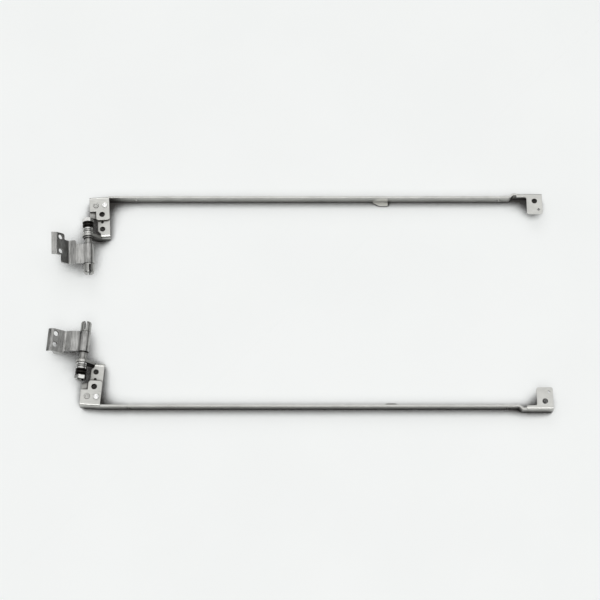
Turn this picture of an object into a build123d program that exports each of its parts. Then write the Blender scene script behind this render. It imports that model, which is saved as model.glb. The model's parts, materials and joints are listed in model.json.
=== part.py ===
"""A pair of laptop display hinges with their side rails, lying flat.

Each hinge has a stamped side rail, a display bracket riveted under the rail's
foot, a turned shaft clamped through the bracket's ear by a stack of washers
and disc springs, and a base bracket rolled round the shaft.

One hinge is drawn in its own frame: X runs along the rail from the turning
axis, Y goes inward from the outer face of the rail's foot, Z is up from the
rail's lower edge. The left hinge is the mirror image, apart from its wing.
"""

import os
from math import acos, atan2, cos, hypot, radians, sin, tan

from build123d import *

# Side rail
rail_gauge = 0.9
rail_height = 6.4
rail_run = 216.7
rail_spacing = 109.0
foot_start = 0.8
foot_width = 9.8
foot_depth = 7.9
tongue_width = 6.6
tongue_depth = 12.6
fold_radius = 1.1
set_angle = 3.7

# Far end of the rail
end_jog = 1.5
end_jog_length = 1.8
end_lead = 5.0
end_lead_depth = 2.0
end_tab_width = 7.8
end_tab_depth = 11.0
end_hole = 2.7
end_hole_inset = 4.1
end_pin_hole = 1.3
end_pin_hole_inset = 8.7

# Panel tab and side screws along the rail
left_mid_tab = 136.0
right_mid_tab = 138.1
mid_tab_root = 7.6
mid_tab_tip = 4.2
mid_tab_reach = 2.1
panel_hole = 2.2
panel_hole_first = 13.4
panel_hole_inset = 4.9

# Display bracket
bracket_gauge = 1.2
bracket_reach = 21.9
bracket_setback = 1.9
bracket_bend = 2.0
axis_rise = 2.2
ear_radius = 2.9
ear_drop = 5.4
ear_toe = 1.2
ear_shoulder = 6.0
notch_edge = 4.6
notch_clearance = 0.4
plate_hole = 2.65
plate_hole_inset = 4.7
tongue_hole = 2.8
tongue_hole_place = 9.65
pilot_hole = 1.4
pilot_hole_place = 13.5
hole_line = 6.9

# Rivets
rivet_shank = 1.9
rivet_head = 2.8
rivet_head_rise = 0.3
rivet_line = 4.7
rivet_pitch = 4.4
rivet_fit = 0.03

# Shaft
thread_diameter = 3.0
key_width = 2.3
journal_diameter = 3.5
collar_diameter = 4.7
collar_length = 0.8
neck_length = 3.4
pin_diameter = 3.2
fork_diameter = 5.1
fork_length = 5.2
fork_slot = 1.0
fork_slot_depth = 4.3
thread_tail = 0.6
left_fork_turn = 18.0
right_fork_turn = 0.0

# Friction stack
washer_diameter = 5.2
stop_washer_gauge = 1.2
friction_washer_gauge = 1.05
seat_washer_gauge = 1.05
disc_diameter = 5.4
disc_gauge = 0.45
disc_rise = 0.33
disc_count = 4
nut_flats = 5.0
nut_height = 1.95
left_nut_turn = 0.0
right_nut_turn = 21.0

# Base bracket
base_gauge = 1.0
barrel_length = 10.0
knuckle_angle = 35.0
seam_angle = 78.0
leaf_drop = 1.3
leaf_length = 6.1
joggle_run = 3.3
joggle_drop = 1.5
wing_angle = 34.0
wing_length = 7.4
lip_length = 2.6
left_lip_angle = 4.0
right_lip_angle = -38.0
bend_radius = 1.4
flange_depth = 4.6
wing_hole = 2.6
wing_hole_reach = 5.0
left_wing_hole_pitch = 7.4
right_wing_hole_pitch = 5.5
left_shoulder = 2.2
left_wing_offset = 5.3
left_heel_cut = 3.9
right_wing_offset = 1.2
left_base_turn = 10.0
right_base_turn = 0.0

# Fits
running_fit = 0.05
key_fit = 0.05
face_gap = 0.03

# Worked-out places along the turning axis and the rail
foot_end = foot_start + foot_width
bracket_top = rail_height - rail_gauge
axis_height = bracket_top + axis_rise
ear_bottom = bracket_top - ear_drop
plate_hole_place = bracket_reach - plate_hole_inset
ear_inner = bracket_reach - bracket_gauge
stop_washer_at = ear_inner - face_gap - stop_washer_gauge
friction_washer_at = stop_washer_at - friction_washer_gauge
seat_washer_at = friction_washer_at - seat_washer_gauge
disc_pitch = disc_gauge + disc_rise
nut_at = seat_washer_at - disc_count * disc_pitch - nut_height
tail_end = nut_at - thread_tail
collar_at = bracket_reach + face_gap
neck_at = collar_at + collar_length
barrel_at = neck_at + neck_length + face_gap
barrel_end = barrel_at + barrel_length
fork_at = barrel_end + face_gap
fork_end = fork_at + fork_length
barrel_bore = pin_diameter / 2 + running_fit
barrel_radius = barrel_bore + base_gauge
jog_end = rail_run - end_tab_width - end_lead - 2 * rail_gauge
jog_start = jog_end - end_jog_length
panel_holes = [panel_hole_first, jog_start - panel_hole_inset]

about_axis = Pos(0, 0, axis_height) * Rot(-90, 0, 0)


def rounded(outline, corners):
    """Flat face from an outline, with a radius at each listed corner."""
    face = make_face(Polyline(*outline, close=True))
    for x, y, radius in corners:
        corner = face.vertices().sort_by_distance(Vector(x, y, 0))[0]
        face = fillet(corner, radius)
    return face


def across(face, start, length):
    """A face drawn in X and Z, carried inward from start by length."""
    return extrude(Plane.XZ.offset(-start) * face, -length)


def turned(profile):
    """A solid of revolution from radius and height points."""
    return revolve(Plane.XZ * make_face(Polyline(*profile, close=True)), Axis.Z)


def drill(x, y, diameter):
    """A vertical cutter through every sheet at one place."""
    return Pos(x, y, rail_height / 2) * Cylinder(diameter / 2, rail_height * 3)


def rivet_places():
    """Centres of the two rivets in the foot."""
    middle = foot_end - tongue_width / 2 - rivet_pitch / 4
    return [(middle - rivet_pitch / 2, rivet_line), (middle + rivet_pitch / 2, rivet_line)]


def folded(start, length, outer, depth):
    """Wall and top flange bent from one strip, carried along X."""
    line = FilletPolyline(
        (outer, 0),
        (outer, rail_height),
        (outer + depth, rail_height),
        radius=fold_radius,
    )
    profile = make_face(offset(line, rail_gauge, side=Side.RIGHT))
    return extrude(Plane.YZ.offset(start) * profile, length)


def rail_foot():
    """Foot plate with its tongue, folded inward from the top of the wall."""
    tongue_start = foot_end - tongue_width
    outline = [
        (foot_start, 0),
        (foot_end, 0),
        (foot_end, tongue_depth),
        (tongue_start, tongue_depth),
        (tongue_start, foot_depth),
        (foot_start, foot_depth),
    ]
    corners = [
        (foot_end, tongue_depth, 1.2),
        (tongue_start, tongue_depth, 1.2),
        (tongue_start, foot_depth, 0.4),
        (foot_start, foot_depth, 0.5),
    ]
    foot = folded(foot_start, foot_width, 0, tongue_depth)
    foot &= extrude(rounded(outline, corners), rail_height)
    toe = foot.edges().filter_by(Axis.Y).sort_by_distance((foot_start, 0, 0))[0]
    foot = fillet(toe, rail_height / 3)
    for x, y in rivet_places():
        foot -= drill(x, y, rivet_shank + 2 * rivet_fit)
    return foot - drill(hole_line, tongue_hole_place, tongue_hole)


def rail_arm(tab_place):
    """Wall of the rail from the foot to the far end, drawn from its own start."""
    tab_start = rail_run - end_tab_width
    lead_start = tab_start - end_lead
    path = FilletPolyline(
        (0, 0),
        (jog_start, 0),
        (jog_end, -end_jog),
        (lead_start, -end_jog),
        radius=rail_gauge,
    )
    wall = extrude(make_face(offset(path, rail_gauge, side=Side.LEFT)), rail_height)
    outline = [
        (lead_start, -end_jog),
        (rail_run, -end_jog),
        (rail_run, end_tab_depth - end_jog),
        (tab_start, end_tab_depth - end_jog),
        (tab_start, end_lead_depth - end_jog),
        (lead_start, end_lead_depth - end_jog),
    ]
    corners = [
        (rail_run, end_tab_depth - end_jog, 1.0),
        (tab_start, end_tab_depth - end_jog, 1.0),
        (tab_start, end_lead_depth - end_jog, 1.0),
        (lead_start, end_lead_depth - end_jog, 0.6),
    ]
    end = folded(lead_start, end_lead + end_tab_width, -end_jog, end_tab_depth)
    end &= extrude(rounded(outline, corners), rail_height)
    end -= drill(tab_start + end_tab_width / 2, end_hole_inset - end_jog, end_hole)
    end -= drill(rail_run - end_tab_width / 4, end_pin_hole_inset - end_jog, end_pin_hole)
    return wall + end + mid_tab(tab_place) - wall_cuts()


def mid_tab(tab_place):
    """Small tapered tab folded inward from the lower edge of the wall."""
    outline = [
        (tab_place - mid_tab_root / 2, 0),
        (tab_place + mid_tab_root / 2, 0),
        (tab_place + mid_tab_root / 2, mid_tab_reach + rail_gauge),
        (tab_place + mid_tab_root / 2 - mid_tab_tip, mid_tab_reach + rail_gauge),
        (tab_place - mid_tab_root / 2, rail_gauge + 0.4),
    ]
    corners = [(x, y, 0.5) for x, y in outline[2:4]]
    return extrude(rounded(outline, corners), rail_gauge)


def wall_cuts():
    """The two side screw holes."""
    cuts = []
    for place in panel_holes:
        hole = Pos(place, rail_height / 2) * Circle(panel_hole / 2)
        cuts.append(across(hole, -rail_gauge, 3 * rail_gauge))
    return cuts


def rail(tab_place):
    """Whole rail, with its arm set off the foot by an angle seen from above."""
    return rail_foot() + Pos(foot_end, 0, 0) * Rot(0, 0, set_angle) * rail_arm(tab_place)


def lobe_touch(point, side):
    """Where a line from a point just touches the round lobe of the ear."""
    aside = point[0]
    above = point[1] - axis_height
    angle = atan2(above, aside) + side * acos(ear_radius / hypot(aside, above))
    return (ear_radius * cos(angle), axis_height + ear_radius * sin(angle))


def ear_arm():
    """Flat side of the ear: a lobe round the shaft, run into the turned-down flange."""
    shoulder = (ear_shoulder, bracket_top)
    heel = (notch_edge, ear_bottom)
    along = (ear_shoulder - notch_edge) / (foot_end - notch_edge)
    arm = Polyline(
        shoulder,
        lobe_touch(shoulder, 1),
        lobe_touch(heel, -1),
        heel,
        (ear_shoulder, ear_bottom + ear_toe * along),
        close=True,
    )
    side = make_face(arm) + Pos(0, axis_height) * Circle(ear_radius)
    return side - Pos(0, axis_height) * Circle(journal_diameter / 2 + running_fit)


def display_bracket():
    """Plate under the foot, cut away beside the stack, with its ear turned down."""
    notch_start = tail_end - notch_clearance
    relief = bracket_reach - bracket_bend - bracket_gauge / 4
    outline = [
        (foot_start, bracket_setback),
        (foot_end, bracket_setback),
        (foot_end, bracket_reach),
        (ear_shoulder, bracket_reach),
        (ear_shoulder, relief),
        (notch_edge, relief - ear_shoulder + notch_edge),
        (notch_edge, notch_start),
        (foot_start, notch_start),
    ]
    corners = [
        (notch_edge, notch_start, 2.0),
        (foot_start, notch_start, 0.6),
        (foot_start, bracket_setback, 0.6),
        (foot_end, bracket_setback, 0.6),
    ]
    line = FilletPolyline(
        (bracket_setback, bracket_top),
        (bracket_reach, bracket_top),
        (bracket_reach, ear_bottom),
        radius=bracket_bend,
    )
    strip = make_face(offset(line, bracket_gauge, side=Side.RIGHT))
    plate = extrude(Plane.YZ.offset(foot_start) * strip, foot_width)
    plate &= extrude(rounded(outline, corners), rail_height)
    flange = [
        (0, bracket_top),
        (0, ear_bottom),
        (notch_edge, ear_bottom),
        (foot_end, ear_bottom + ear_toe),
        (foot_end, bracket_top),
    ]
    plate &= across(rounded(flange, [(*flange[3], ear_radius / 2)]), 0, bracket_reach)
    bracket = plate + across(ear_arm(), ear_inner, bracket_gauge)
    for x, y in rivet_places():
        bracket -= drill(x, y, rivet_shank + 2 * rivet_fit)
    bracket -= drill(hole_line, tongue_hole_place, tongue_hole)
    bracket -= drill(hole_line, pilot_hole_place, pilot_hole)
    return bracket - drill(hole_line, plate_hole_place, plate_hole)


def rivets():
    """Two formed rivets through the foot and the bracket."""
    head = rivet_head / 2
    shank = rivet_shank / 2
    low = bracket_top - bracket_gauge
    top = rail_height
    profile = [
        (0, low - rivet_head_rise),
        (head - 0.2, low - rivet_head_rise),
        (head, low),
        (shank, low),
        (shank, top),
        (head, top),
        (head - 0.2, top + rivet_head_rise),
        (head - 0.6, top + rivet_head_rise),
        (head - 0.8, top + rivet_head_rise / 2),
        (0, top + rivet_head_rise / 2),
    ]
    rivet = turned(profile)
    return Compound([Pos(x, y, 0) * rivet for x, y in rivet_places()])


def shaft(fork_turn):
    """Turned shaft: threaded tail, keyed length, journal, collar, pin and fork."""
    thread = thread_diameter / 2
    journal = journal_diameter / 2
    collar = collar_diameter / 2
    pin = pin_diameter / 2
    fork = fork_diameter / 2
    profile = [
        (0, tail_end),
        (thread - 0.3, tail_end),
        (thread, tail_end + 0.3),
        (thread, ear_inner),
        (journal, ear_inner),
        (journal, collar_at),
        (collar, collar_at),
        (collar, neck_at),
        (journal, neck_at),
        (journal, barrel_at - face_gap),
        (pin, barrel_at - face_gap),
        (pin, fork_at),
        (fork - 0.2, fork_at),
        (fork, fork_at + 0.2),
        (fork, fork_end - 0.9),
        (fork - 0.25, fork_end - 0.3),
        (fork - 0.8, fork_end),
        (0, fork_end),
    ]
    body = turned(profile)
    keyed = ear_inner - nut_at - nut_height
    flat = (thread_diameter - key_width) / 2
    for side in (-1, 1):
        place = side * (key_width / 2 + flat)
        body -= Pos(place, 0, ear_inner - keyed / 2) * Box(2 * flat, thread_diameter, keyed)
    slot = Box(fork_slot, fork_diameter * 2, fork_slot_depth * 2)
    body -= Pos(0, 0, fork_end) * Rot(0, 0, fork_turn) * slot
    return about_axis * body


def ring(diameter, gauge, start, hole):
    """Washer with eased rims round any shape of hole."""
    blank = extrude(Circle(diameter / 2) - hole, gauge)
    rims = blank.edges().filter_by(GeomType.CIRCLE)
    rims = [rim for rim in rims if rim.radius > diameter / 2 - face_gap]
    return about_axis * Pos(0, 0, start) * chamfer(rims, gauge / 6)


def keyed_hole():
    """Hole with two flats, so that the washer turns with the shaft."""
    flats = Rectangle(key_width + 2 * key_fit, thread_diameter * 2)
    return Circle(thread_diameter / 2 + key_fit) & flats


def disc_spring(index):
    """One coned disc, facing the other way from its neighbour."""
    inner = thread_diameter / 2 + key_fit
    outer = disc_diameter / 2
    cone = [
        (inner, 0),
        (outer, disc_rise),
        (outer, disc_rise + disc_gauge),
        (inner, disc_gauge),
    ]
    disc = turned(cone)
    start = seat_washer_at - (index + 1) * disc_pitch
    if index % 2:
        disc = Pos(0, 0, disc_pitch) * Rot(180, 0, 0) * disc
    return about_axis * Pos(0, 0, start) * disc


def lock_nut(nut_turn):
    """Hexagon nut with its corners turned off on the outer face."""
    blank = extrude(RegularPolygon(nut_flats / 2, 6, major_radius=False), nut_height)
    across_corners = nut_flats / cos(radians(30)) / 2
    ease = (across_corners - nut_flats / 2) * tan(radians(40))
    crown = turned(
        [
            (thread_diameter / 2 + key_fit, 0),
            (nut_flats / 2, 0),
            (across_corners, ease),
            (across_corners, nut_height),
            (thread_diameter / 2 + key_fit, nut_height),
        ]
    )
    return about_axis * Pos(0, 0, nut_at) * Rot(0, 0, nut_turn) * (blank & crown)


def sheet_line(lip_angle):
    """Top face of the base bracket's sheet, from the barrel out to the lip."""
    away = radians(knuckle_angle)
    start = (-barrel_radius * sin(away), barrel_radius * cos(away))
    leaf = barrel_radius - leaf_drop
    corner = (start[0] - (start[1] - leaf) / tan(away), leaf)
    bend = (-leaf_length, leaf)
    valley = (bend[0] - joggle_run, bend[1] - joggle_drop)
    rise = radians(wing_angle)
    crest = (valley[0] - wing_length * cos(rise), valley[1] + wing_length * sin(rise))
    turn = radians(lip_angle)
    lip = (crest[0] - lip_length * cos(turn), crest[1] + lip_length * sin(turn))
    return [start, corner, bend, valley, crest, lip]


def wing_holes(line, places):
    """Screw holes square through the wing."""
    rise = radians(wing_angle)
    x = line[3][0] - wing_hole_reach * cos(rise)
    z = axis_height + line[3][1] + wing_hole_reach * sin(rise)
    cutter = Cylinder(wing_hole / 2, 6 * base_gauge)
    return [Pos(x, y, z) * Rot(0, wing_angle, 0) * cutter for y in places]


def base_bracket(outline, corners, lip_angle, hole_places):
    """Sheet rolled round the shaft, joggled down and up to a screwed wing."""
    line = sheet_line(lip_angle)
    sheet = make_face(offset(FilletPolyline(*line, radius=bend_radius), base_gauge, side=Side.LEFT))
    gap = [(0, 0)]
    for angle in (radians(knuckle_angle), radians(seam_angle)):
        gap.append((-2 * barrel_radius * sin(angle), 2 * barrel_radius * cos(angle)))
    seam = make_face(Polyline(*gap, close=True))
    curl = Circle(barrel_radius) - Circle(barrel_bore) - seam
    solid = across(Pos(0, axis_height) * (curl + sheet), 0, fork_end)
    solid &= Pos(0, 0, -fork_end) * extrude(rounded(outline, corners), 2 * fork_end)
    for cutter in wing_holes(line, hole_places):
        solid -= cutter
    return solid


def wing_flange(line, edge):
    """Stiffener turned down along the nut side of the wing."""
    inset = wing_length * 0.15
    rise = radians(wing_angle)
    start = (line[3][0] - inset * cos(rise), line[3][1] + inset * sin(rise))
    stop = (line[4][0] + inset * cos(rise), line[4][1] - inset * sin(rise))
    foot = line[3][1] - flange_depth / 2
    side = rounded([start, stop, (stop[0], foot), (start[0], foot)], [(stop[0], foot, 1.0)])
    return across(Pos(0, axis_height) * side, edge, base_gauge)


def left_base_bracket():
    """Base bracket whose wing is carried past the barrel toward the nut."""
    line = sheet_line(left_lip_angle)
    far = line[5][0] - base_gauge
    near = barrel_radius * 2
    shoulder_at = -leaf_length
    step_at = line[3][0] - joggle_run * 0.7
    heel_at = line[3][0] - joggle_run * 1.3
    wing_edge = barrel_at - left_wing_offset
    heel_edge = barrel_end - left_heel_cut
    outline = [
        (near, barrel_at),
        (shoulder_at, barrel_at),
        (shoulder_at, barrel_at - left_shoulder),
        (step_at, barrel_at - left_shoulder),
        (step_at, wing_edge),
        (far, wing_edge),
        (far, heel_edge),
        (heel_at, heel_edge),
        (heel_at, barrel_end),
        (near, barrel_end),
    ]
    corners = [
        (shoulder_at, barrel_at - left_shoulder, 1.2),
        (step_at, barrel_at - left_shoulder, 0.5),
        (step_at, wing_edge, 1.0),
        (heel_at, heel_edge, 0.5),
        (heel_at, barrel_end, 0.8),
    ]
    middle = (wing_edge + heel_edge) / 2
    holes = [middle - left_wing_hole_pitch / 2, middle + left_wing_hole_pitch / 2]
    return base_bracket(outline, corners, left_lip_angle, holes)


def right_base_bracket():
    """Base bracket whose wing is about as wide as the barrel."""
    line = sheet_line(right_lip_angle)
    far = line[5][0] - base_gauge
    near = barrel_radius * 2
    step_at = line[3][0]
    wing_edge = barrel_at - right_wing_offset
    outline = [
        (near, barrel_at),
        (step_at, barrel_at),
        (step_at, wing_edge),
        (far, wing_edge),
        (far, barrel_end),
        (near, barrel_end),
    ]
    corners = [(step_at, barrel_at, 0.5), (step_at, wing_edge, 0.6)]
    middle = (barrel_at + barrel_end) / 2
    holes = [middle - right_wing_hole_pitch / 2, middle + right_wing_hole_pitch / 2]
    plain = base_bracket(outline, corners, right_lip_angle, holes)
    return plain + wing_flange(line, wing_edge)


def hinge(own_rail, base, base_turn, fork_turn, nut_turn):
    """All pieces of one hinge, with the rail's arm brought parallel to X."""
    turn = Pos(0, 0, axis_height) * Rot(0, base_turn, 0) * Pos(0, 0, -axis_height)
    pieces = {
        "rail": own_rail,
        "display_bracket": display_bracket(),
        "rivets": rivets(),
        "base_bracket": turn * base,
        "shaft": shaft(fork_turn),
        "stop_washer": ring(washer_diameter, stop_washer_gauge, stop_washer_at, keyed_hole()),
        "lock_nut": lock_nut(nut_turn),
    }
    plain_hole = Circle(thread_diameter / 2 + key_fit)
    friction = ring(washer_diameter, friction_washer_gauge, friction_washer_at, plain_hole)
    pieces["friction_washer"] = friction
    pieces["seat_washer"] = ring(washer_diameter, seat_washer_gauge, seat_washer_at, keyed_hole())
    for index in range(disc_count):
        pieces[f"disc_spring_{index + 1}"] = disc_spring(index)
    square_up = Rot(0, 0, -set_angle) * Pos(-foot_end, 0, 0)
    return {name: square_up * piece for name, piece in pieces.items()}


# Both hinges, placed side by side with their rails parallel
nodes = {}
to_right = Pos(0, -rail_spacing / 2, 0)
to_left = Pos(0, rail_spacing / 2, 0)
right_rail = rail(right_mid_tab)
left_rail = rail(left_mid_tab)
right = hinge(right_rail, right_base_bracket(), right_base_turn, right_fork_turn, right_nut_turn)
left = hinge(left_rail, left_base_bracket(), left_base_turn, left_fork_turn, left_nut_turn)
for name, piece in right.items():
    nodes[f"right_{name}"] = to_right * piece
for name, piece in left.items():
    nodes[f"left_{name}"] = to_left * mirror(piece, about=Plane.XZ)

# The origin goes to the middle of the pair, on the surface it lies on
box = Compound(list(nodes.values())).bounding_box()
to_origin = Pos(-box.center().X, -box.center().Y, -box.min.Z)

os.makedirs("parts", exist_ok=True)
for name, piece in nodes.items():
    export_step(to_origin * piece, f"parts/{name}.step")
print(len(nodes), "nodes, size", box.size)
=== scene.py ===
# %% [markdown]
# # A pair of laptop hinges
#
# Two steel display hinges lie side by side on a white sheet, seen from above and in front. The
# solids come ready-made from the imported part, so this lesson is about their looks: the metal
# finishes, a thread on each shaft's tail, the sheet below, soft light and a camera.

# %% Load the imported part
import json
from math import atan, cos, degrees, pi, radians, sin

import bmesh
import bpy
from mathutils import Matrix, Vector


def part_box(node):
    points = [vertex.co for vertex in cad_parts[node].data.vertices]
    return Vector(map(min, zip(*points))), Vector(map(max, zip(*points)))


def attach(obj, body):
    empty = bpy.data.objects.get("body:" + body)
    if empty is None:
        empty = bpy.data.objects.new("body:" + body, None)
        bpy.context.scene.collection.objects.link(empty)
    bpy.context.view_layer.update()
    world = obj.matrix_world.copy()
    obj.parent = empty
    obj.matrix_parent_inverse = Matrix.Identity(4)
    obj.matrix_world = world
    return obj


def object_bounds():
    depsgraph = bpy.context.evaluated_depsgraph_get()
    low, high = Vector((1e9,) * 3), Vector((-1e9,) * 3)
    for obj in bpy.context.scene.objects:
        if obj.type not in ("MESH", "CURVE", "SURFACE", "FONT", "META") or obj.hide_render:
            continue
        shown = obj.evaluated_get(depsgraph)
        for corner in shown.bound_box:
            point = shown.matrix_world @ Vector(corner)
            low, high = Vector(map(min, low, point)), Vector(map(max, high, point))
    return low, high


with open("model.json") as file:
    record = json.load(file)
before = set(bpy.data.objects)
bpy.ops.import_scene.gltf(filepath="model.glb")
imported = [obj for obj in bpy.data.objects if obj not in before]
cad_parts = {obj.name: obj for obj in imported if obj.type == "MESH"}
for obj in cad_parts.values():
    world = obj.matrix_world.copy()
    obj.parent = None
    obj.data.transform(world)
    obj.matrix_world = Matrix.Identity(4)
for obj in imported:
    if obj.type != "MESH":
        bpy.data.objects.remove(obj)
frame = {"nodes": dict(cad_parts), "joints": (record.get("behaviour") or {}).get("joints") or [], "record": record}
cad_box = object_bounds()
MM = 0.001
size_mm = [round(side / MM, 1) for side in cad_box[1] - cad_box[0]]
print("nodes", len(frame["nodes"]), "size in mm", size_mm)

# %% [markdown]
# ## Small tools for node trees
#
# Every finish below is a web of shader nodes. Two short helpers keep that readable: one adds a
# node and fills its inputs, with a value or with a link, and one opens a node group with named
# sockets. A group holds an effect that several finishes share, so it is tuned in one place.


# %% Helpers for node trees
def add(tree, kind, inputs=None, **settings):
    """Adds a node to a tree, with its settings, and its inputs set or linked."""
    made = tree.nodes.new(kind)
    for name, value in settings.items():
        setattr(made, name, value)
    for name, value in (inputs or {}).items():
        if isinstance(value, bpy.types.NodeSocket):
            tree.links.new(value, made.inputs[name])
        else:
            made.inputs[name].default_value = value
    return made


def math(tree, operation, first, second=0.0, third=0.0, clamp=False):
    """One step of arithmetic on a value that changes over the surface."""
    terms = {0: first, 1: second, 2: third}
    step = add(tree, "ShaderNodeMath", terms, operation=operation, use_clamp=clamp)
    return step.outputs[0]


def open_group(name, sockets_in, sockets_out):
    """A new node group with named inputs (kind, start value) and named outputs (kind)."""
    tree = bpy.data.node_groups.new(name, "ShaderNodeTree")
    for label, (kind, start) in sockets_in.items():
        socket = tree.interface.new_socket(label, in_out="INPUT", socket_type=kind)
        socket.default_value = start
    for label, kind in sockets_out.items():
        tree.interface.new_socket(label, in_out="OUTPUT", socket_type=kind)
    source = tree.nodes.new("NodeGroupInput")
    sink = tree.nodes.new("NodeGroupOutput")
    return tree, source.outputs, sink.inputs


VALUE = "NodeSocketFloat"
VECTOR = "NodeSocketVector"
print("helpers ready")

# %% [markdown]
# ## Grain left by the rolling mill
#
# Sheet steel leaves the mill with fine lines along its length, and plating follows them. Noise
# stretched along one direction gives the same look, with no picture to paint. The group takes the
# stretch as a vector, so that the rails run along X and the brackets along the turning axis.

# %% Rolled grain
grain_tree, grain_in, grain_out = open_group(
    "rolled grain",
    {"Lines per metre": (VECTOR, (400.0, 9000.0, 9000.0)), "Detail": (VALUE, 3.0)},
    {"Tone": VALUE, "Height": VALUE},
)
where = add(grain_tree, "ShaderNodeTexCoord").outputs["Object"]
stretched = add(
    grain_tree,
    "ShaderNodeVectorMath",
    {0: where, 1: grain_in["Lines per metre"]},
    operation="MULTIPLY",
).outputs["Vector"]
lines = add(
    grain_tree,
    "ShaderNodeTexNoise",
    {"Vector": stretched, "Scale": 1.0, "Detail": grain_in["Detail"], "Roughness": 0.6},
)
grain_tree.links.new(lines.outputs["Fac"], grain_out["Height"])
spread = add(
    grain_tree,
    "ShaderNodeMapRange",
    {"Value": lines.outputs["Fac"], "From Min": 0.35, "From Max": 0.65},
    interpolation_type="SMOOTHSTEP",
)
grain_tree.links.new(spread.outputs["Result"], grain_out["Tone"])
print("group", grain_tree.name)

# %% [markdown]
# ## Handling marks
#
# A part that has been in a tray with others carries cloudy finger marks and thin scratches. Both
# are noise: broad and soft for the clouds, and very long and thin, cut off high, for the
# scratches. They mostly change the roughness, which is how the eye finds them on metal.

# %% Clouds and scratches
mark_tree, mark_in, mark_out = open_group(
    "handling marks",
    {"Clouds per metre": (VALUE, 120.0), "Scratch share": (VALUE, 0.3)},
    {"Cloud": VALUE, "Scratch": VALUE},
)
where = add(mark_tree, "ShaderNodeTexCoord").outputs["Object"]
cloud = add(
    mark_tree,
    "ShaderNodeTexNoise",
    {"Vector": where, "Scale": mark_in["Clouds per metre"], "Detail": 4.0, "Roughness": 0.55},
)
soft_cloud = add(
    mark_tree,
    "ShaderNodeMapRange",
    {"Value": cloud.outputs["Fac"], "From Min": 0.3, "From Max": 0.7},
    interpolation_type="SMOOTHSTEP",
)
mark_tree.links.new(soft_cloud.outputs["Result"], mark_out["Cloud"])
scratches = []
SCRATCH_SETS = ((0.5, 160.0, 9000.0), (-0.9, 220.0, 12000.0))
for turn, long_way, thin_way in SCRATCH_SETS:
    scale = (long_way, thin_way, thin_way / 6)
    turned = add(
        mark_tree,
        "ShaderNodeMapping",
        {"Vector": where, "Rotation": (0.2, 0.1, turn), "Scale": scale},
    )
    hair = add(
        mark_tree,
        "ShaderNodeTexNoise",
        {"Vector": turned.outputs["Vector"], "Scale": 1.0, "Detail": 1.0},
    )
    cut = add(
        mark_tree,
        "ShaderNodeMapRange",
        {"Value": hair.outputs["Fac"], "From Min": 0.68, "From Max": 0.74},
    )
    scratches.append(cut.outputs["Result"])
both = math(mark_tree, "MAXIMUM", scratches[0], scratches[1])
kept = math(mark_tree, "MULTIPLY", both, mark_in["Scratch share"])
mark_tree.links.new(kept, mark_out["Scratch"])
print("group", mark_tree.name)

# %% [markdown]
# ## Worn and rounded edges
#
# No real edge is razor sharp. The Bevel node looks a tiny way round each corner and gives the
# normal that a rounded edge would have. Where that normal differs from the true one there is an
# edge, so one node gives both the rounded shading and a mask for wear.

# %% Edge wear
edge_tree, edge_in, edge_out = open_group(
    "edge wear",
    {"Radius": (VALUE, 0.12 * MM), "Breakup per metre": (VALUE, 1500.0)},
    {"Mask": VALUE, "Normal": VECTOR},
)
soft_edge = add(edge_tree, "ShaderNodeBevel", {"Radius": edge_in["Radius"]}, samples=6)
true_normal = add(edge_tree, "ShaderNodeNewGeometry").outputs["Normal"]
agree = add(
    edge_tree,
    "ShaderNodeVectorMath",
    {0: soft_edge.outputs["Normal"], 1: true_normal},
    operation="DOT_PRODUCT",
).outputs["Value"]
edge = add(edge_tree, "ShaderNodeMapRange", {"Value": agree, "From Min": 0.995, "From Max": 0.85})
where = add(edge_tree, "ShaderNodeTexCoord").outputs["Object"]
chips = add(
    edge_tree,
    "ShaderNodeTexNoise",
    {"Vector": where, "Scale": edge_in["Breakup per metre"], "Detail": 3.0},
)
patchy = add(
    edge_tree, "ShaderNodeMapRange", {"Value": chips.outputs["Fac"], "From Min": 0.3, "From Max": 0.6}
)
worn = math(edge_tree, "MULTIPLY", edge.outputs["Result"], patchy.outputs["Result"], clamp=True)
edge_tree.links.new(worn, edge_out["Mask"])
edge_tree.links.new(soft_edge.outputs["Normal"], edge_out["Normal"])
print("group", edge_tree.name)

# %% [markdown]
# ## Painted shade in recesses
#
# Shade is painted into the colour here: it darkens in bends, under the washers and low on the sides, where little
# light reaches. The Ambient Occlusion node measures how much open air a point sees within a short reach, and a
# soft step over that value makes a mask for the painted shade. The table uses the same group to paint the dark
# shadow line where a part touches it.

# %% Painted recess shade
painted_shade_tree, shade_in, shade_out = open_group(
    "painted recess shade",
    {"Reach": (VALUE, 9.0 * MM), "Unshaded above": (VALUE, 0.96), "Dark below": (VALUE, 0.58)},
    {"Unshaded": VALUE},
)
air = add(painted_shade_tree, "ShaderNodeAmbientOcclusion", {"Distance": shade_in["Reach"]}, samples=12)
# Painted shade mask: near 0 where a point sees little open air, 1 where it is open.
unshaded_step = add(
    painted_shade_tree,
    "ShaderNodeMapRange",
    {
        "Value": air.outputs["AO"],
        "From Min": shade_in["Dark below"],
        "From Max": shade_in["Unshaded above"],
    },
    interpolation_type="SMOOTHSTEP",
)
painted_shade_tree.links.new(unshaded_step.outputs["Result"], shade_out["Unshaded"])
print("group", painted_shade_tree.name)

# %% [markdown]
# ## Lathe marks
#
# A turned shaft carries rings where the tool travelled along it. The rings depend only on the
# place along the turning axis, so a noise of one dimension makes them. Each hinge has its own
# axis, given by its joint in the record.

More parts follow.
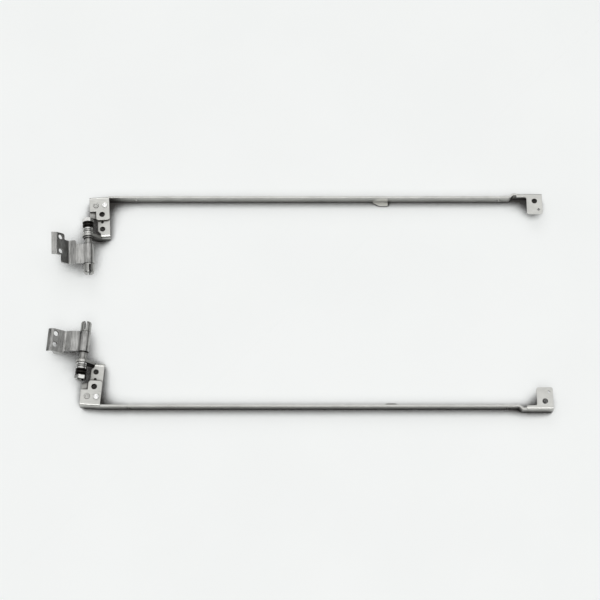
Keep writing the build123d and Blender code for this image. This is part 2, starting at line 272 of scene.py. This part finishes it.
# %% Turned rings
ring_tree, ring_in, ring_out = open_group(
    "turned rings",
    {"Axis": (VECTOR, (0.0, 1.0, 0.0)), "Rings per metre": (VALUE, 7000.0)},
    {"Tone": VALUE, "Height": VALUE},
)
where = add(ring_tree, "ShaderNodeTexCoord").outputs["Object"]
along = add(
    ring_tree, "ShaderNodeVectorMath", {0: where, 1: ring_in["Axis"]}, operation="DOT_PRODUCT"
).outputs["Value"]
count = math(ring_tree, "MULTIPLY", along, ring_in["Rings per metre"])
tool_marks = add(
    ring_tree,
    "ShaderNodeTexNoise",
    {"W": count, "Scale": 1.0, "Detail": 2.0},
    noise_dimensions="1D",
)
ring_tree.links.new(tool_marks.outputs["Fac"], ring_out["Height"])
ring_tone = add(
    ring_tree,
    "ShaderNodeMapRange",
    {"Value": tool_marks.outputs["Fac"], "From Min": 0.3, "From Max": 0.7},
)
ring_tree.links.new(ring_tone.outputs["Result"], ring_out["Tone"])
print("group", ring_tree.name)

# %% [markdown]
# ## One recipe for the metals
#
# The finishes differ in colour, gloss and grain, and not in kind. One function builds them all: two tones mixed by
# grain and clouds, a brighter tone on worn edges, a roughness that follows the same masks, a bump from the grain,
# and painted shade that darkens the colour in recesses. The Principled shader itself stays in each material.


# %% Metal recipe
def place(tree, group, values):
    """Puts a shared group into a material with its own values."""
    made = tree.nodes.new("ShaderNodeGroup")
    made.node_tree = group
    for name, value in values.items():
        made.inputs[name].default_value = value
    return made.outputs


# A Mix node has sockets of each kind under the same names, so its colours are found by number.
FIRST_COLOUR, SECOND_COLOUR, MIXED_COLOUR = 6, 7, 2


def blend(tree, share, first, second):
    """A colour between two others."""
    made = add(tree, "ShaderNodeMix", {"Factor": share}, data_type="RGBA")
    for number, value in ((FIRST_COLOUR, first), (SECOND_COLOUR, second)):
        if isinstance(value, bpy.types.NodeSocket):
            tree.links.new(value, made.inputs[number])
        else:
            made.inputs[number].default_value = (*value, 1.0)
    return made.outputs[MIXED_COLOUR]


# The near-black below is painted shade: recesses and low sides are darkened toward it.
PAINTED_RECESS_SHADE = (0.040, 0.036, 0.032)
CLOUD_TONE, GRAIN_TONE = 0.45, 0.55
CLOUD_GLOSS, GRAIN_GLOSS = 0.6, 0.4
RELIEF = 0.6


def metal(name, dark, light, edge, gloss, lines, bump, axis=None, painted_shade_range=(0.58, 0.96)):
    """A metal finish; gloss is its least and most roughness, and the last argument gives the openness below which
    painted shade is full and above which there is none.
    """
    material = bpy.data.materials.new(name)
    material.use_nodes = True
    tree = material.node_tree
    surface = tree.nodes["Principled BSDF"]
    surface.inputs["Metallic"].default_value = 1.0
    marks = place(tree, mark_tree, {})
    edges = place(tree, edge_tree, {})
    if axis is None:
        grain = place(tree, grain_tree, {"Lines per metre": lines})
    else:
        grain = place(tree, ring_tree, {"Axis": axis, "Rings per metre": lines})
    cloudy = math(tree, "MULTIPLY", marks["Cloud"], CLOUD_TONE)
    lined = math(tree, "MULTIPLY", grain["Tone"], GRAIN_TONE)
    tone = blend(tree, math(tree, "ADD", cloudy, lined), dark, light)
    worn = blend(tree, edges["Mask"], tone, edge)
    # Painted shade: the colour is darkened toward the near-black where the surface sees little open air.
    painted_shade = place(tree, painted_shade_tree, {"Dark below": painted_shade_range[0], "Unshaded above": painted_shade_range[1]})
    colour = blend(tree, painted_shade["Unshaded"], PAINTED_RECESS_SHADE, worn)
    tree.links.new(colour, surface.inputs["Base Color"])
    smooth, rough = gloss
    dulled = math(tree, "MULTIPLY_ADD", marks["Cloud"], (rough - smooth) * CLOUD_GLOSS, smooth)
    streaked = math(tree, "MULTIPLY", grain["Tone"], (rough - smooth) * GRAIN_GLOSS)
    scuffed = math(tree, "ADD", math(tree, "ADD", dulled, streaked), marks["Scratch"])
    tree.links.new(scuffed, surface.inputs["Roughness"])
    relief = add(
        tree,
        "ShaderNodeBump",
        {
            "Height": grain["Height"],
            "Normal": edges["Normal"],
            "Distance": bump * MM,
            "Strength": RELIEF,
        },
    )
    tree.links.new(relief.outputs["Normal"], surface.inputs["Normal"])
    return material


axes = {joint["child"]: Vector(joint["axis"]).normalized() for joint in frame["joints"]}
print("turning axes", {body: [round(v, 3) for v in axis] for body, axis in axes.items()})

# %% [markdown]
# ## Plated sheet for the rails and feet
#
# The rails and the bent feet are thin sheet with a pale satin plating. Its grain runs along the
# rail, and the cut edges look lighter where the plating is rubbed. A satin roughness spreads the
# light into the broad, calm brightness that plated steel shows.

# %% Plated steel
PLATING = {
    "dark": (0.50, 0.50, 0.475),
    "light": (0.68, 0.68, 0.65),
    "edge": (0.80, 0.80, 0.77),
    "gloss": (0.27, 0.38),
    "lines": (300.0, 7000.0, 7000.0),
    "bump": 0.004,
}
finishes = {"plated_steel": metal("plated_steel", **PLATING)}
print("finish", finishes["plated_steel"].name)

# %% [markdown]
# ## Darker grained steel for the base brackets
#
# The rolled base brackets are bare, darker steel. Their grain follows the turning axis, which gives the barrel its
# long light and dark bands. Their painted shade begins only deeper in the folds than it does on the rails.

# %% Base steel
finishes["base_steel"] = metal(
    "base_steel",
    dark=(0.21, 0.21, 0.203),
    light=(0.56, 0.56, 0.543),
    edge=(0.66, 0.66, 0.64),
    gloss=(0.24, 0.38),
    lines=(2600.0, 240.0, 2600.0),
    bump=0.012,
    painted_shade_range=(0.56, 0.88),
)
print("finish", finishes["base_steel"].name)

# %% [markdown]
# ## Turned and polished small parts
#
# Shaft, washers, nut and rivets are small, so their finish shows as one glint. The shaft has lathe
# rings. Seen from above, the washers read as thin bright lines: each is dark on its rim and bright
# along its two edges, where the discs rub, so they have a strong edge tone. The nut is bright and
# smooth. The disc springs are blackened in oil, which leaves a dark, faintly glossy skin.

# %% Shaft, washers, bright parts and springs
turning = axes["right_base"]
finishes["shaft_steel"] = metal(
    "shaft_steel",
    dark=(0.30, 0.30, 0.288),
    light=(0.52, 0.52, 0.50),
    edge=(0.66, 0.66, 0.64),
    gloss=(0.30, 0.44),
    lines=6000.0,
    bump=0.010,
    axis=turning,
)
finishes["washer_steel"] = metal(
    "washer_steel",
    dark=(0.30, 0.30, 0.285),
    light=(0.48, 0.48, 0.46),
    edge=(0.95, 0.95, 0.93),
    gloss=(0.24, 0.36),
    lines=6000.0,
    bump=0.003,
    axis=turning,
)
finishes["bright_steel"] = metal(
    "bright_steel",
    dark=(0.58, 0.58, 0.56),
    light=(0.78, 0.78, 0.76),
    edge=(0.86, 0.86, 0.84),
    gloss=(0.18, 0.30),
    lines=(4000.0, 4000.0, 4000.0),
    bump=0.002,
)
finishes["black_spring_steel"] = metal(
    "black_spring_steel",
    dark=(0.012, 0.011, 0.010),
    light=(0.030, 0.028, 0.026),
    edge=(0.10, 0.09, 0.08),
    gloss=(0.30, 0.46),
    lines=9000.0,
    bump=0.003,
    axis=turning,
)
print("finishes", sorted(finishes))

# %% [markdown]
# ## Give each solid its finish
#
# The record names a material slot for every solid. The finishes above carry the same names, so one
# loop dresses the whole pair, and a slot with no finish would stop the script here.

# %% Dress the solids
slots = {part["node"]: part["material_slot"] for part in frame["record"]["subparts"]}
for name, solid in frame["nodes"].items():
    solid.data.materials.clear()
    solid.data.materials.append(finishes[slots[name]])
print("dressed", len(slots), "solids")

# %% [markdown]
# ## Rivets, one with a painted highlight
#
# Each foot has two rivets, and the head of the one nearer the rail is coloured near white as a painted highlight,
# while the other keeps the tone of the plating. Both rivets of a foot are one solid, so the material itself tells
# them apart: it compares the place along X with the middle of the solid.

# %% Rivet heads
rivet = metal(
    "rivet_steel_painted_highlight",
    dark=(0.52, 0.52, 0.495),
    light=(0.60, 0.60, 0.575),
    edge=(0.70, 0.70, 0.68),
    gloss=(0.36, 0.46),
    lines=(2500.0, 2500.0, 2500.0),
    bump=0.001,
)
tree = rivet.node_tree
surface = tree.nodes["Principled BSDF"]
# Painted highlight: the head nearer the rail is coloured near white, standing in for the light it mirrors.
PAINTED_HIGHLIGHT_HEAD = (0.98, 0.98, 0.97)
low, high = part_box("right_rivets")
split = (low.x + high.x) / 2
where = add(tree, "ShaderNodeTexCoord").outputs["Object"]
across = add(tree, "ShaderNodeSeparateXYZ", {"Vector": where}).outputs["X"]
near_rail = math(tree, "GREATER_THAN", across, split)
dull_head = surface.inputs["Base Color"].links[0].from_socket
head = blend(tree, near_rail, dull_head, PAINTED_HIGHLIGHT_HEAD)
tree.links.new(head, surface.inputs["Base Color"])
for hand in ("left", "right"):
    frame["nodes"][hand + "_rivets"].data.materials[0] = rivet
print("rivets split at", round(split / MM, 2), "mm along X")

# %% [markdown]
# ## The left rail, with less painted shade
#
# The left rail gets much less painted shade than the right one: its inner wall and small tab stay pale, where the
# right rail is painted nearly black low on the wall. The plating is the same, so the recipe is used again with
# painted shade that starts much deeper.

# %% Left rail
# Less painted shade: the colour darkens only in much deeper recesses than on the right rail.
lightly_shaded_plating = metal("plated_steel_less_painted_shade", painted_shade_range=(0.20, 0.90), **PLATING)
frame["nodes"]["left_rail"].data.materials[0] = lightly_shaded_plating
print("left rail in", lightly_shaded_plating.name)

# %% [markdown]
# ## A thread on each shaft's tail
#
# The solids keep the threaded tail as a plain cylinder, because a helix makes heavy geometry. The
# short tail past the nut gets its thread here: a small triangle swept along a helix. Its place
# comes from the shaft and nut, measured along the turning axis: of the shaft's two ends, the tail
# is the one nearer to the nut.


# %% Screw threads
THREAD_RADIUS = 1.45 * MM
THREAD_PITCH = 0.5 * MM
THREAD_DEPTH = 0.09 * MM
LOW_GAP = 0.18 * MM
HIGH_GAP = 0.22 * MM
STEPS_PER_TURN = 48
FEWEST_STEPS = 8
# The ridge's corners: along the axis in pitches, and outward in depths.
RIDGE = ((-0.3, -0.2), (0.0, 1.0), (0.3, -0.2))


def span_along(node, start, axis):
    """The lowest and highest place of a solid along an axis."""
    places = [(corner.co - start).dot(axis) for corner in frame["nodes"][node].data.vertices]
    return min(places), max(places)


def screw_thread(name, start, axis, low, high):
    """A helical ridge round an axis, between two places along it."""
    side = axis.orthogonal().normalized()
    across = axis.cross(side)
    steps = max(FEWEST_STEPS, round(STEPS_PER_TURN * (high - low) / THREAD_PITCH))
    shape = bmesh.new()
    rows = []
    for step in range(steps + 1):
        along = low + (high - low) * step / steps
        turn = 2 * pi * (along - low) / THREAD_PITCH
        out = side * cos(turn) + across * sin(turn)
        middle = start + axis * along
        row = []
        for shift, reach in RIDGE:
            outward = out * (THREAD_RADIUS + reach * THREAD_DEPTH)
            row.append(shape.verts.new(middle + axis * shift * THREAD_PITCH + outward))
        rows.append(row)
    for first, second in zip(rows, rows[1:]):
        for edge in range(3):
            after = (edge + 1) % 3
            shape.faces.new((first[edge], first[after], second[after], second[edge]))
    shape.faces.new(rows[0][::-1])
    shape.faces.new(rows[-1])
    bmesh.ops.recalc_face_normals(shape, faces=shape.faces)
    mesh = bpy.data.meshes.new(name)
    shape.to_mesh(mesh)
    shape.free()
    piece = bpy.data.objects.new(name, mesh)
    bpy.context.collection.objects.link(piece)
    return piece


for joint in frame["joints"]:
    hand = joint["name"].split("_")[0]
    start = Vector(joint["pos_m"])
    axis = Vector(joint["axis"]).normalized()
    shaft = span_along(hand + "_shaft", start, axis)
    nut = span_along(hand + "_lock_nut", start, axis)
    tail = min((shaft[0], nut[0]), (nut[1], shaft[1]), key=lambda ends: ends[1] - ends[0])
    thread = screw_thread(hand + "_thread", start, axis, tail[0] + LOW_GAP, tail[1] - HIGH_GAP)
    thread.data.materials.append(finishes["shaft_steel"])
    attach(thread, joint["child"])
    tail_mm = round((tail[1] - tail[0]) / MM, 2)
    print(hand, "tail in mm", tail_mm, "thread corners", len(thread.data.vertices))

# %% [markdown]
# ## The table
#
# Parts like these are shown on a white sheet that is lit until it is nearly white, so only the closest shadows are
# left. About half of the sheet's brightness is its own faint glow, seen by the camera and by mirrors alone, so
# that it lights nothing. The other half is real light with real shadows, and the painted shade group paints a dark
# contact shadow into the sheet's colour and its glow under each part.

# %% Table
TABLE_SIDE = 24.0
TABLE_GLOW = 1.33
TABLE_DROP = 0.02 * MM
SHEET_TINTS = ((0.400, 0.407, 0.403), (0.407, 0.414, 0.410))
# The near-black tone and the reach of the painted contact shadow on the sheet.
PAINTED_SHADOW_TONE = (0.020, 0.019, 0.018)
PAINTED_SHADOW_SPREAD = {"Reach": 20.0 * MM, "Dark below": 0.51, "Unshaded above": 0.73}
table_height = cad_box[0].z - TABLE_DROP
bpy.ops.mesh.primitive_plane_add(size=TABLE_SIDE, location=(0.0, 0.0, table_height))
table = bpy.context.object
table.name = "table"
paper = bpy.data.materials.new("white_sheet")
paper.use_nodes = True
tree = paper.node_tree
surface = tree.nodes["Principled BSDF"]
surface.inputs["Specular IOR Level"].default_value = 0.1
marks = place(tree, mark_tree, {"Clouds per metre": 14.0})
tint = blend(tree, marks["Cloud"], *SHEET_TINTS)
# Painted contact shadow: the sheet's colour, and with it its glow, darkens toward near black where it sees little
# open air next to the parts.
painted_shade = place(tree, painted_shade_tree, PAINTED_SHADOW_SPREAD)
shaded = blend(tree, painted_shade["Unshaded"], PAINTED_SHADOW_TONE, tint)
tree.links.new(shaded, surface.inputs["Base Color"])
tree.links.new(shaded, surface.inputs["Emission Color"])
rays = add(tree, "ShaderNodeLightPath").outputs
seen = math(tree, "ADD", rays["Is Camera Ray"], rays["Is Glossy Ray"])
seen = math(tree, "ADD", seen, rays["Is Transmission Ray"], clamp=True)
tree.links.new(math(tree, "MULTIPLY", seen, TABLE_GLOW), surface.inputs["Emission Strength"])
dull = math(tree, "MULTIPLY_ADD", marks["Cloud"], 0.1, 0.6)
tree.links.new(dull, surface.inputs["Roughness"])
table.data.materials.append(paper)
print("table at", round(table.location.z / MM, 3), "mm")

# %% [markdown]
# ## Light
#
# Metal shows what is around it, so its light is planned as a picture in a mirror. A pale cap of sky
# stands where the flat faces mirror the camera, and sets their tone. Around it the sky is dark,
# which keeps the sloped faces dark and the folds easy to read. Four soft panels stand outside that
# mirror picture: they light the table from each side and draw long glints on round parts.


# %% Sky and soft panels
def soft_panel(name, stand, width, height, shine):
    """A flat lamp that faces the parts, with a given brightness of its face."""
    lamp = bpy.data.lights.new(name, "AREA")
    lamp.shape = "RECTANGLE"
    lamp.size, lamp.size_y = width, height
    lamp.energy = shine * pi * width * height
    holder = bpy.data.objects.new(name, lamp)
    bpy.context.collection.objects.link(holder)
    holder.location = stand
    holder.rotation_euler = Vector(stand).to_track_quat("Z", "Y").to_euler()


CAP_TOWARD = (0.0, 0.33, 0.944)
CAP_EDGE, CAP_FULL = 0.72, 0.92
SKY_LOW, SKY_CAP = 0.07, 0.97
sky = bpy.data.worlds.new("pale_sky")
sky.use_nodes = True
tree = sky.node_tree
toward = add(tree, "ShaderNodeTexCoord").outputs["Generated"]
nearness = add(
    tree, "ShaderNodeVectorMath", {0: toward, 1: CAP_TOWARD}, operation="DOT_PRODUCT"
).outputs["Value"]
cap = add(
    tree,
    "ShaderNodeMapRange",
    {
        "Value": nearness,
        "From Min": CAP_EDGE,
        "From Max": CAP_FULL,
        "To Min": SKY_LOW,
        "To Max": SKY_CAP,
    },
    interpolation_type="SMOOTHSTEP",
)
tree.links.new(cap.outputs["Result"], tree.nodes["Background"].inputs["Strength"])
tree.nodes["Background"].inputs["Color"].default_value = (1.0, 1.0, 1.0, 1.0)
bpy.context.scene.world = sky
soft_panel("left_lamp", (-3.30, 0.60, 2.30), width=2.2, height=1.8, shine=0.9)
soft_panel("back_lamp", (-0.60, 3.10, 2.45), width=2.4, height=1.8, shine=2.2)
soft_panel("right_lamp", (2.80, 0.60, 2.80), width=2.2, height=2.2, shine=0.8)
soft_panel("front_lamp", (0.00, -1.70, 3.00), width=2.2, height=2.2, shine=3.3)
print("lamps", [lamp.name for lamp in bpy.data.lights])

# %% [markdown]
# ## Camera
#
# The camera stands in front of the pair and looks down at about seventy degrees, far enough away
# that the rails stay almost parallel. Half the picture's width and the focal length, both in
# pixels, give the lens its angle.

# %% Camera
STEEPNESS = radians(70.458)
CAMERA_DISTANCE = 760.99 * MM
HALF_PICTURE, FOCAL_LENGTH = 300.0, 1549.5
NEAREST_SEEN = 10 * MM
aim = Vector((0.554, 0.556, 3.0)) * MM
eye = aim + CAMERA_DISTANCE * Vector((0.0, -cos(STEEPNESS), sin(STEEPNESS)))
lens = bpy.data.cameras.new("camera")
lens.angle = 2 * atan(HALF_PICTURE / FOCAL_LENGTH)
lens.clip_start = NEAREST_SEEN
camera = bpy.data.objects.new("camera", lens)
bpy.context.collection.objects.link(camera)
camera.location = eye
camera.rotation_euler = (eye - aim).to_track_quat("Z", "Y").to_euler()
bpy.context.scene.camera = camera
bpy.context.scene.view_settings.view_transform = "Standard"
print("camera angle", round(degrees(lens.angle), 2))
